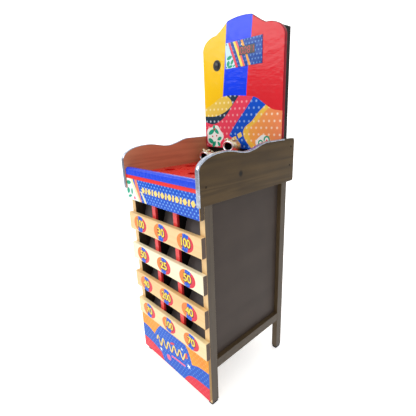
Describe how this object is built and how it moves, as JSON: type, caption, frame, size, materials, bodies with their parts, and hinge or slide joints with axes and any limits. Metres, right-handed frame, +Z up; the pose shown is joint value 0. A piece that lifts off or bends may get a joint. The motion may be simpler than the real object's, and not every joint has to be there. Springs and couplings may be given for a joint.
{
  "type": "disc toss arcade cabinet",
  "caption": "Four-leg wooden disc toss cabinet with holed red deck, metal frog targets, slatted catch trays and a tall crest board with score display.",
  "frame": {"origin": "on the floor, under the middle of the whole object's box", "axes": "+Z up along the longest extent, -Y towards the player, +X to the object's right as the player sees it"},
  "size_m": [0.513, 0.58, 1.61],
  "materials": {
    "pine": "sealed pale pine",
    "pale_pine": "sealed cream pine",
    "board_wood": "varnished solid wood, grain along the depth",
    "panel": "satin brown plywood",
    "black_board": "matte black painted board",
    "red_paint": "glossy red enamel on board",
    "blue_paint": "glossy blue enamel",
    "printed_board": "glossy printed film on board",
    "edge_strip": "glossy red edge strip",
    "bright_moulding": "polished edge moulding",
    "frog_metal": "polished cast metal",
    "rubber": "moulded rubber",
    "zinc_steel": "zinc plated",
    "chrome": "polished",
    "black_plastic": "satin black moulding",
    "printed_plate": "printed plastic plate",
    "smoked": "smoked acrylic",
    "circuit": "coated circuit board",
    "lamp_lens": "amber lens"
  },
  "bodies": {
    "cabinet": {"back_box": "black_board", "back_panel": "black_board", "button_housing": "black_plastic", "button_switch": "black_plastic", "controller_case": "black_plastic", "crest_board": "printed_board", "crest_edge": "edge_strip", "deck": "red_paint", "display_board": "circuit", "display_plate": "printed_plate", "display_window": "smoked", "divider_left": "red_paint", "divider_right": "red_paint", "edge_moulding_left": "bright_moulding", "edge_moulding_right": "bright_moulding", "foot_front_left": "rubber", "foot_front_right": "rubber", "foot_rear_left": "rubber", "foot_rear_right": "rubber", "frog_centre": "frog_metal", "frog_left": "frog_metal", "frog_right": "frog_metal", "front_lip": "blue_paint", "header_board": "printed_board", "hinge_fixed_leaf": "zinc_steel", "kick_plate": "black_board", "lamp": "lamp_lens", "leg_front_left": "pine", "leg_front_right": "pine", "leg_rear_left": "pine", "leg_rear_right": "pine", "lower_panel": "printed_board", "mains_inlet": "black_plastic", "power_supply": "zinc_steel", "rail_front": "pine", "rail_rear": "pine", "rail_rear_upper": "pine", "rail_side_left": "pine", "rail_side_right": "pine", "sensor_plate": "circuit", "side_board_left": "board_wood", "side_board_right": "board_wood", "side_panel_left": "panel", "side_panel_right": "panel", "slat_1": "pine", "slat_2": "pale_pine", "slat_3": "pine", "slat_4": "pine", "speaker": "black_plastic", "switch_frame": "black_plastic", "tray_1": "black_board", "tray_2": "black_board", "tray_3": "black_board", "tray_4": "black_board"},
    "turn_button": {"button_cap": "black_plastic"},
    "rear_door": {"box_door": "black_board", "hinge_moving_leaf": "zinc_steel"},
    "door_lock": {"cam_lock": "chrome"},
    "power_switch": {"power_rocker": "black_plastic"},
    "volume_control": {"volume_knob": "black_plastic"}
  },
  "joints": [
    {"name": "turn_button_press", "type": "slide", "parent": "cabinet", "child": "turn_button", "axis": [0, 1, 0], "range_m": [0, 0.004], "stiffness_N_per_m": 250},
    {"name": "rear_door_swing", "type": "hinge", "parent": "cabinet", "child": "rear_door", "pos_m": [-0.207, 0.2868, 1.24], "axis": [0, 0, 1], "range_deg": [0, 105]},
    {"name": "lock_turn", "type": "hinge", "parent": "rear_door", "child": "door_lock", "pos_m": [0.1875, 0.2753, 1.25], "axis": [0, -1, 0], "range_deg": [0, 90]},
    {"name": "power_switch_tip", "type": "hinge", "parent": "cabinet", "child": "power_switch", "pos_m": [-0.2193, 0.2528, 1.27], "axis": [0, -1, 0], "range_deg": [0, 14]},
    {"name": "volume_turn", "type": "hinge", "parent": "cabinet", "child": "volume_control", "pos_m": [0.09, 0.2616, 1.25], "axis": [0, 1, 0], "range_deg": [0, 270]}
  ]
}
